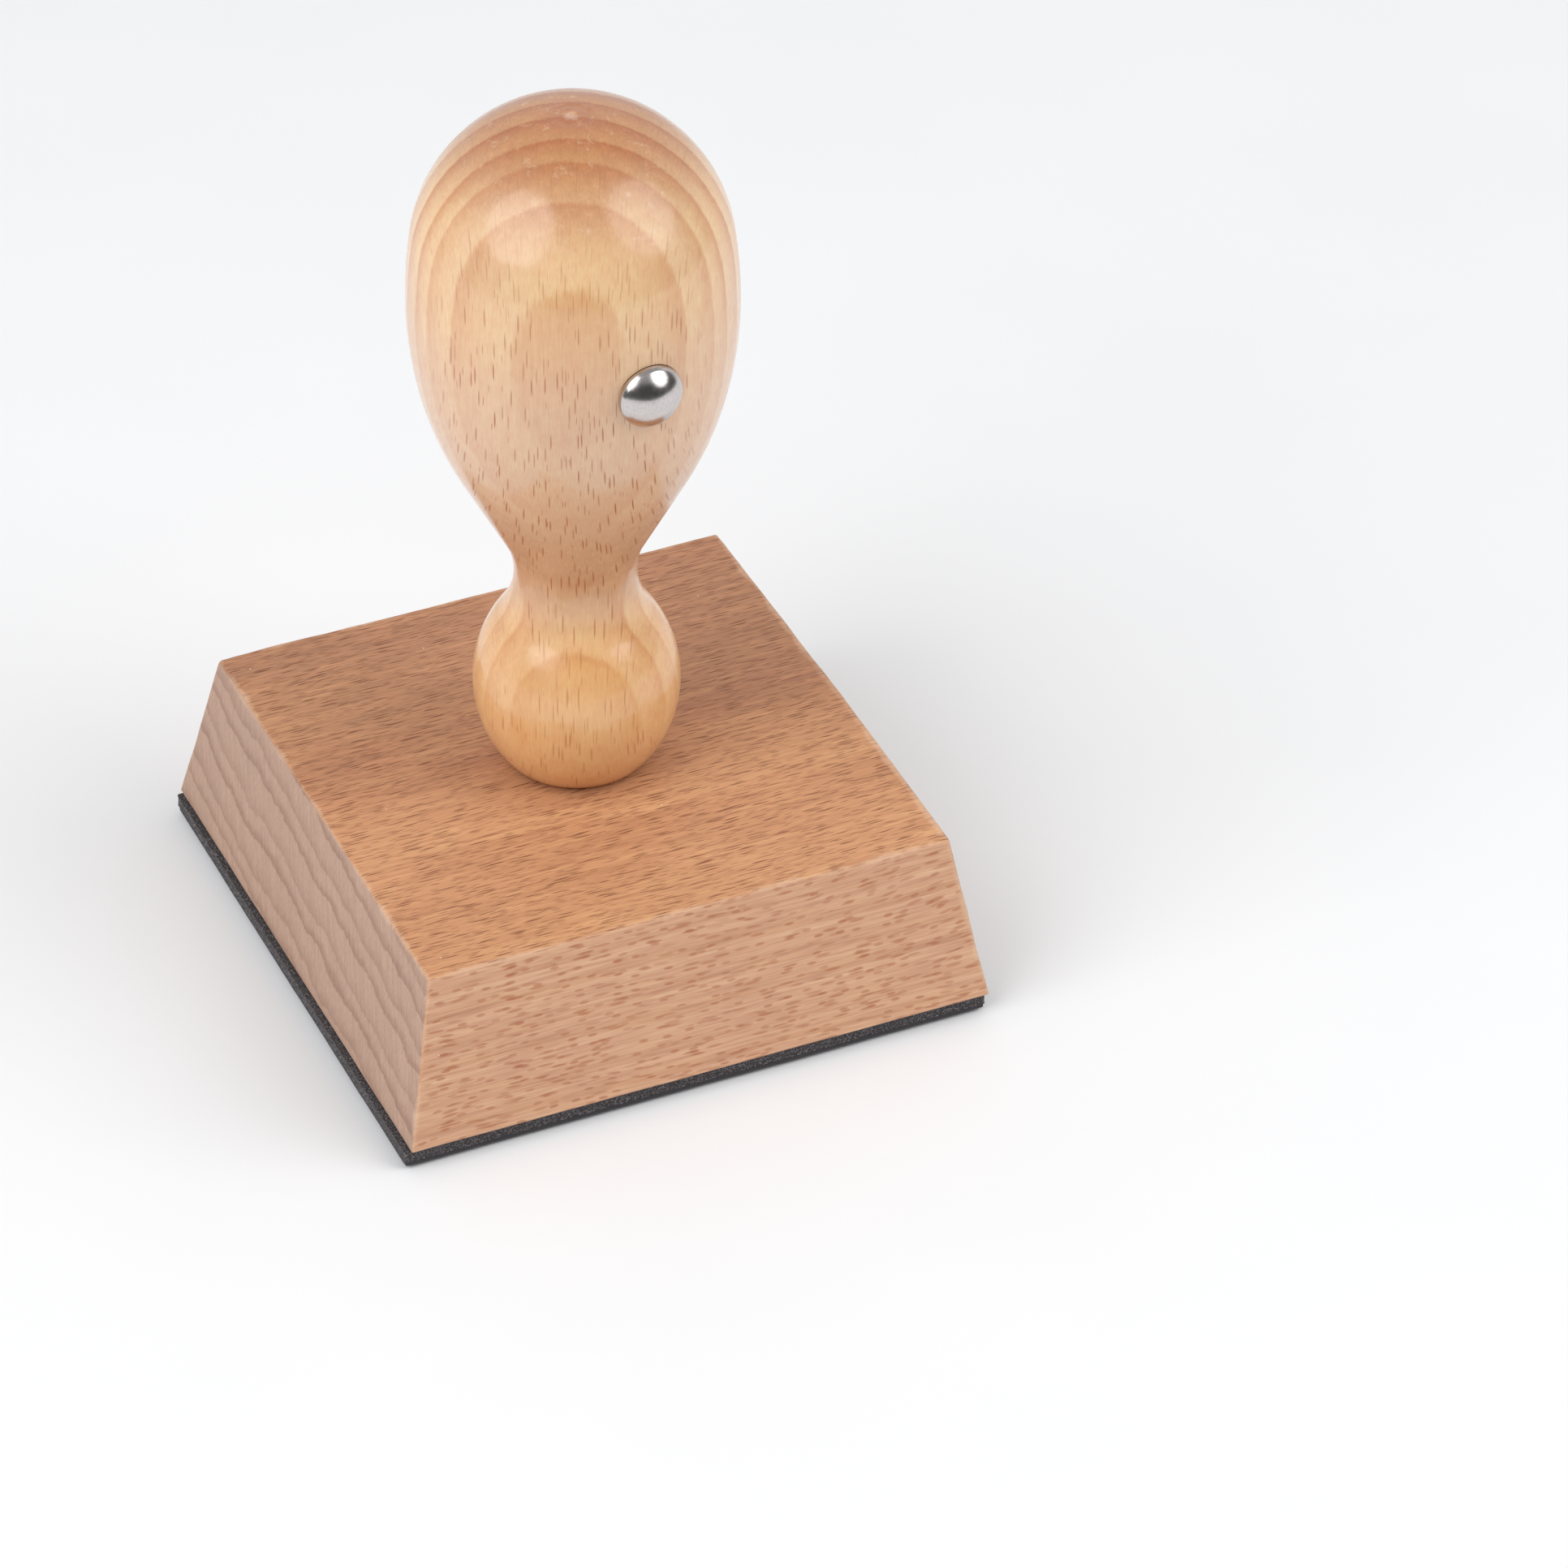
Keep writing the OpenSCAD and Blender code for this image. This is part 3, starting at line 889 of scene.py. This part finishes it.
def block_wood():
    """Sanded beech with the grain along X, so its top, front and ends each show another cut."""
    s = Surface("sanded_beech")
    x, y, z = s.split(s.point)[:3]
    normal = s.split(s.add("ShaderNodeTexCoord").outputs["Normal"])
    end = s.remap(s.math("ABSOLUTE", normal[0]), 0.55, 0.9)
    top = s.remap(s.math("ABSOLUTE", normal[2]), 0.5, 0.85)
    tilt = math.radians(7)
    radial = s.math("ADD", s.math("MULTIPLY", y, -math.sin(tilt)), s.math("MULTIPLY", z, math.cos(tilt)))
    # On the back the tilt is turned round, so that its flecks are as short as those on the front
    long_side = s.math("SUBTRACT", 1.0, s.math("MAXIMUM", top, end))
    at_back = s.math("MULTIPLY", s.math("GREATER_THAN", y, 0.0), long_side)
    rise = s.math("MULTIPLY", s.math("MULTIPLY_ADD", at_back, -2.0, 1.0), math.sin(tilt))
    tangent = s.math("ADD", s.math("MULTIPLY", y, math.cos(tilt)), s.math("MULTIPLY", z, rise))
    sway = s.noise(s.stretched(s.point, 34, 14, 14), 2)
    tangent = s.math("ADD", tangent, s.math("MULTIPLY_ADD", sway, 1.4, -0.7))
    bend = s.noise(s.stretched(s.point, 110, 15, 15), 2)
    depth = s.math("ADD", radial, s.math("MULTIPLY_ADD", bend, 3.0, -1.5))
    wave = s.noise(s.stretched(s.point, 60, 10, 12), 4, 0.6)
    depth = s.math("ADD", depth, s.math("MULTIPLY_ADD", wave, 4.4, -2.2))
    grain = s.vector(tangent, x, radial)
    fuzz = s.noise(s.stretched(grain, 0.7, 9, 0.7), 3)
    depth = s.math("ADD", depth, s.math("MULTIPLY_ADD", fuzz, 0.8, -0.4))
    rings = [(-1.5, 0.7), (1.9, 0.8), (4.6, 0.75), (8.6, 0.95), (11.2, 0.7), (15.2, 0.9), (17.8, 0.75)]
    rings += [(21.6, 0.9), (24.6, 0.7), (28.9, 0.8)]
    late = growth_rings(s, depth, rings, -6, 32)
    long_only = s.math("SUBTRACT", 1.0, end)
    wood = long_wood(s, x, y, grain, late, top)
    fibres = s.noise(s.stretched(grain, 0.2, 8, 0.2), 4, 0.68)
    wood = s.mix(0.8, wood, s.ramp(fibres, [(0.28, 0.34), (0.72, 0.66)]), "OVERLAY")
    streaks = s.noise(s.stretched(grain, 0.6, 12, 0.6), 3, 0.6)
    streaks = s.ramp(streaks, [(0.3, 0.37), (0.7, 0.63)])
    wood = s.mix(s.math("MULTIPLY", long_only, 0.5), wood, streaks, "OVERLAY")
    dashes = s.marks(s.stretched(grain, 0.4, 5.4, 1), 0.27, 0.82, "2D")
    lenses = s.marks(s.stretched(grain, 0.22, 4.2, 1), 0.3, 0.8, "2D")
    rays = s.blend(top, lenses, dashes)
    broken = s.noise(s.stretched(grain, 1.2, 4, 2.2), 1)
    rays = s.math("MULTIPLY", rays, s.remap(broken, 0.38, 0.5, 0.3, 1))
    pores = s.marks(s.stretched(grain, 0.3, 3.0, 1), 0.24, 0.8, "2D")
    rays = s.math("MULTIPLY", rays, long_only)
    pores = s.math("MULTIPLY", pores, long_only)
    ray_colour = s.mix(top, srgb(172, 102, 66), srgb(122, 68, 40))
    wood = s.mix(s.math("MULTIPLY", rays, s.math("MULTIPLY_ADD", top, 0.2, 0.65)), wood, ray_colour)
    wood = s.mix(s.math("MULTIPLY", pores, 0.65), wood, ray_colour)
    end_wood, saw = end_grain(s, y, z, grain, late)
    wood = s.mix(end, wood, end_wood)
    worn = s.math("MULTIPLY", worn_edge(s, x, y, z), 0.42)
    wood = s.mix(worn, wood, srgb(228, 192, 162))
    wood = s.mix(dust_specks(s), wood, srgb(238, 222, 208))
    relief = s.math("SUBTRACT", s.math("MULTIPLY", fibres, 0.5), s.math("ADD", rays, pores))
    relief = s.math("ADD", relief, s.math("MULTIPLY", saw, end))
    return s.shade(
        Base_Color=wood,
        Roughness=s.remap(fibres, 0.3, 0.7, 0.48, 0.62),
        Normal=s.bump(relief, 0.05, 0.6),
        IOR=1.45,
    )


def long_wood(s, x, y, grain, late, top):
    """Side and top colours of the block: paler sides, an orange front, and a browner back that is partly
    the wood's tone and partly painted shade behind the handle.
    """
    early = s.mix(top, srgb(211, 164, 131), srgb(204, 150, 108))
    dark = s.mix(top, srgb(195, 142, 107), srgb(180, 122, 88))
    wood = s.mix(s.math("MULTIPLY", late, 0.75), early, dark)
    # Browner towards the back and right, most of all on the top: partly the wood's own tone, partly painted
    # shade where the handle shades the top
    toward_back = s.math("ADD", y, s.math("MULTIPLY", x, 0.35))
    cloud = s.noise(s.stretched(grain, 9, 60, 9), 3)
    toward_back = s.math("ADD", toward_back, s.math("MULTIPLY_ADD", cloud, 50.0, -25.0))
    brown_and_shade = s.math("MULTIPLY", s.remap(toward_back, -12, 24), s.math("MULTIPLY_ADD", top, 0.36, 0.15))
    return s.mix(brown_and_shade, wood, srgb(158, 110, 88))


def end_grain(s, y, z, grain, late):
    """Colour of the block's ends and the height of the saw marks on them."""
    ring_line = s.remap(late, 0.05, 0.9, 0, 0.85)
    wood = s.mix(ring_line, srgb(179, 146, 127), srgb(150, 114, 96))
    rays = s.noise(s.stretched(grain, 0.14, 3, 0.9), 3, 0.7)
    wood = s.mix(0.5, wood, s.ramp(rays, [(0.3, 0.38), (0.7, 0.62)]), "OVERLAY")
    slant = math.radians(62)
    over = s.math("ADD", s.math("MULTIPLY", y, math.sin(slant)), s.math("MULTIPLY", z, -math.cos(slant)))
    down = s.math("ADD", s.math("MULTIPLY", y, math.cos(slant)), s.math("MULTIPLY", z, math.sin(slant)))
    saw = s.noise(s.stretched(s.vector(over, down, z), 0.3, 9, 40), 2, 0.6)
    return s.mix(0.35, wood, s.ramp(saw, [(0.3, 0.38), (0.7, 0.62)]), "OVERLAY"), saw


def dust_specks(s):
    """A few pale specks of dust, one in a small share of the cells."""
    distance, chance = s.cells(s.stretched(s.point, 2.2, 2.2, 2.2))
    return s.math("MULTIPLY", s.remap(distance, 0.05, 0.03), s.math("LESS_THAN", chance[0], 0.12))


def worn_edge(s, x, y, z):
    """1 along the block's rubbed edges, fading to 0 within a millimetre, unevenly."""
    inward = s.math("MULTIPLY", s.math("SUBTRACT", z, BLOCK_LOW[2] + BLOCK_ARRIS), BLOCK_LEAN)
    side_x = s.math("SUBTRACT", s.math("SUBTRACT", BLOCK_HIGH[0], s.math("ABSOLUTE", x)), inward)
    side_y = s.math("SUBTRACT", s.math("SUBTRACT", BLOCK_HIGH[1], s.math("ABSOLUTE", y)), inward)
    from_top = s.math("SUBTRACT", FOOT_Z, z)
    low = s.math("MINIMUM", side_x, side_y)
    high = s.math("MAXIMUM", side_x, side_y)
    second = s.math("MAXIMUM", low, s.math("MINIMUM", high, from_top))
    uneven = s.noise(s.stretched(s.point, 5, 5, 5), 4, 0.65)
    reach = s.math("MULTIPLY_ADD", uneven, 2.6, -0.95)
    return s.remap(s.math("SUBTRACT", second, reach), 0.2, -0.5)


# ---------------------------------------------------------------- other materials


def nickel():
    """Polished nickel plate with fine hairline scratches."""
    s = Surface("polished_nickel")
    fine = s.noise(s.stretched(s.point, 0.25, 0.25, 0.25), 4, 0.7)
    hairs = s.noise(s.stretched(s.point, 0.05, 1.4, 0.5), 3, 0.6)
    tone = s.mix(s.remap(fine, 0.3, 0.7), srgb(214, 208, 206), srgb(196, 190, 188))
    return s.shade(
        Base_Color=tone,
        Metallic=1.0,
        Roughness=s.remap(hairs, 0.3, 0.75, 0.17, 0.27),
        Normal=s.bump(s.math("ADD", fine, hairs), 0.004, 0.4),
    )


def zinc_steel():
    """Bright zinc plate, cloudy, with turning lines round it."""
    s = Surface("zinc_plated_steel")
    cloud = s.noise(s.stretched(s.point, 1.6, 1.6, 1.6), 3)
    lines = s.noise(s.stretched(s.point, 6, 6, 0.06), 2)
    tone = s.mix(s.remap(cloud, 0.3, 0.7), srgb(190, 190, 188), srgb(166, 168, 170))
    return s.shade(
        Base_Color=tone,
        Metallic=1.0,
        Roughness=s.remap(cloud, 0.3, 0.7, 0.26, 0.42),
        Normal=s.bump(lines, 0.008, 0.5),
    )


def adhesive(name, light, dark):
    """Double-sided film: a milky sheet with small bubbles and streaks."""
    s = Surface(name)
    streak = s.noise(s.stretched(s.point, 5, 0.7, 1), 3)
    bubble = s.marks(s.stretched(s.point, 1.1, 1.1, 1.1), 0.2, 0.3)
    tone = s.mix(s.remap(streak, 0.3, 0.7), light, dark)
    return s.shade(
        Base_Color=tone,
        Roughness=s.remap(streak, 0.3, 0.7, 0.25, 0.4),
        Normal=s.bump(s.math("SUBTRACT", streak, bubble), 0.02, 0.5),
    )


def foam():
    """Black closed-cell foam: dark pits, paler cell walls and a few near-white specks painted on as glints.
    """
    s = Surface("black_foam")
    distance, chance = s.cells(s.stretched(s.point, 0.24, 0.24, 0.24))
    walls = s.remap(distance, 0.35, 0.8)
    cloud = s.noise(s.stretched(s.point, 1.4, 1.4, 0.9), 4, 0.6)
    tone = s.mix(walls, srgb(42, 39, 41), srgb(112, 106, 109))
    tone = s.mix(s.remap(cloud, 0.3, 0.7, 0, 0.6), tone, srgb(60, 56, 58))
    # Painted highlights: a few near-white specks in the base colour stand for glints of light on the foam
    glint_distance, glint_chance = s.cells(s.stretched(s.point, 0.7, 0.7, 0.7))
    few = s.math("LESS_THAN", glint_chance[0], 0.2)
    specks = s.math("MULTIPLY", s.remap(glint_distance, 0.1, 0.06), few)
    tone = s.mix(s.math("MULTIPLY", specks, 0.8), tone, srgb(214, 210, 210))
    return s.shade(
        Base_Color=tone,
        Roughness=s.remap(chance[1], 0.0, 1.0, 0.55, 0.8),
        Normal=s.bump(walls, 0.06, 0.8),
    )


def rubber():
    """Matt engraved rubber with a fine burnt texture between the raised lines."""
    s = Surface("engraved_rubber")
    grain = s.noise(s.stretched(s.point, 0.12, 0.12, 0.12), 3, 0.7)
    scan = s.noise(s.stretched(s.point, 3, 0.08, 3), 1)
    raised_part = s.remap(s.split(s.point)[2], 0.2, 0.1)
    tone = s.mix(s.remap(grain, 0.3, 0.7), srgb(48, 45, 48), srgb(62, 58, 61))
    tone = s.mix(raised_part, tone, srgb(72, 68, 71))
    relief = s.math("ADD", grain, s.math("MULTIPLY", scan, 0.6))
    return s.shade(
        Base_Color=tone,
        Roughness=s.remap(grain, 0.3, 0.7, 0.6, 0.78),
        Normal=s.bump(relief, 0.02, 0.6),
    )


def floor_material():
    s = Surface("pale_table")
    tone = s.noise(s.stretched(s.point, 40, 40, 40), 2)
    colour = s.mix(tone, srgb(235, 236, 238), srgb(239, 240, 241))
    return s.shade(Base_Color=colour, Roughness=0.7)


# ---------------------------------------------------------------- studio


def direction(azimuth, elevation):
    """Unit vector towards a compass direction in radians, counted from -Y round to +X."""
    level = math.cos(elevation)
    return Vector((math.sin(azimuth) * level, -math.cos(azimuth) * level, math.sin(elevation)))


def add_camera():
    """A camera that stands in the set direction and looks beside the block's middle."""
    back = direction(VIEW_AZIMUTH, VIEW_ELEVATION)
    right = Vector((math.cos(VIEW_AZIMUTH), math.sin(VIEW_AZIMUTH), 0))
    up = back.cross(right)
    aim = Vector((0, 0, BLOCK_LOW[2] * MM)) + AIM_RIGHT * right + AIM_UP * up
    rolled_right = right * math.cos(VIEW_ROLL) + up * math.sin(VIEW_ROLL)
    rolled_up = up * math.cos(VIEW_ROLL) - right * math.sin(VIEW_ROLL)
    camera = bpy.data.objects.new("camera", bpy.data.cameras.new("camera"))
    camera.data.lens = VIEW_LENS
    camera.data.sensor_width = 36.0
    camera.data.clip_start = 0.01
    turn = Matrix((rolled_right, rolled_up, back)).transposed().to_4x4()
    camera.matrix_world = Matrix.Translation(aim + back * VIEW_DISTANCE) @ turn
    bpy.context.scene.collection.objects.link(camera)
    bpy.context.scene.camera = camera


def add_floor():
    """A large pale table top under the printing face."""
    half = 600.0
    points = [(-half, -half, 0), (half, -half, 0), (half, half, 0), (-half, half, 0)]
    floor = new_object("floor", points, [(0, 1, 2, 3)])
    floor.data.materials.append(floor_material())


def add_softbox(name, azimuth, elevation, distance, size, power):
    """A round soft light that faces the object from a direction in degrees."""
    light = bpy.data.lights.new(name, "AREA")
    light.shape = "DISK"
    light.size = size
    light.energy = power
    lamp = bpy.data.objects.new(name, light)
    away = direction(math.radians(azimuth), math.radians(elevation))
    lamp.location = away * distance + Vector((0, 0, 0.06))
    lamp.rotation_mode = "QUATERNION"
    lamp.rotation_quaternion = away.to_track_quat("Z", "Y")
    lamp.visible_camera = False
    bpy.context.scene.collection.objects.link(lamp)


def add_world():
    """A white room that is dark behind the camera, wider so in reflections; the camera sees it pale."""
    world = bpy.data.worlds.new("studio")
    bpy.context.scene.world = world
    world.use_nodes = True
    tree = world.node_tree
    tree.nodes.clear()

    def add(kind, inputs, **settings):
        return add_node(tree, kind, inputs, settings)

    def blend(factor, a, b):
        return add("ShaderNodeMix", {0: factor, 2: a, 3: b}, data_type="FLOAT").outputs[0]

    where = add("ShaderNodeTexCoord", {}).outputs["Generated"]
    front = direction(math.radians(-4), 0)
    height = add("ShaderNodeSeparateXYZ", {0: where}).outputs[2]
    facing = add("ShaderNodeVectorMath", {0: where, 1: front}, operation="DOT_PRODUCT").outputs["Value"]
    smooth = {"interpolation_type": "SMOOTHSTEP"}
    behind = add("ShaderNodeMapRange", {0: facing, 1: 0.2, 2: -0.5}, **smooth).outputs[0]
    path = add("ShaderNodeLightPath", {}).outputs
    mirrored = path["Is Glossy Ray"]
    start = blend(mirrored, 0.45, -0.2)
    full = blend(mirrored, 0.8, 0.0)
    ahead = add("ShaderNodeMapRange", {0: facing, 1: start, 2: full}, **smooth).outputs[0]
    overhead = add("ShaderNodeMapRange", {0: height, 1: 0.5, 2: 0.85}, **smooth).outputs[0]
    top = blend(mirrored, STUDIO_TOP, STUDIO_TOP_MIRRORED)
    level = blend(behind, STUDIO_SIDE, STUDIO_BACK)
    level = blend(ahead, level, STUDIO_FRONT)
    level = blend(overhead, level, top)
    seen = path["Is Camera Ray"]
    strength = blend(seen, level, BACKDROP)
    background = add("ShaderNodeBackground", {"Color": (1, 1, 1, 1), "Strength": strength})
    add("ShaderNodeOutputWorld", {0: background.outputs[0]})


bpy.context.scene.view_settings.view_transform = "Standard"
add_camera()
add_floor()
add_world()
add_softbox("left_softbox", -74, 42, 0.95, 0.86, 4.65)
add_softbox("right_softbox", 49, 40, 0.95, 0.82, 3.75)

finish_piece(make_handle(), handle_wood(), "grip", "handle_wood", "handle")
finish_piece(make_marker_pin(), nickel(), "grip", "nickel", "marker_pin")
finish_piece(make_screw(), zinc_steel(), "grip", "screw_steel", "handle_screw")
finish_piece(make_block(), block_wood(), "base", "block_wood", "mount_block")
mount_film = adhesive("mounting_film", srgb(226, 218, 196), srgb(210, 200, 176))
finish_piece(make_film("mounting_film", "mount_adhesive"), mount_film, "base", "adhesive", "mount_adhesive")
cushion = finish_piece(make_foam(), foam(), "base", "foam", "foam_cushion")
die_film = adhesive("die_film", srgb(232, 228, 214), srgb(216, 210, 194))
finish_piece(make_film("die_film", "die_adhesive"), die_film, "base", "adhesive", "die_adhesive")
finish_piece(make_die(), rubber(), "base", "die_rubber", "rubber_die")
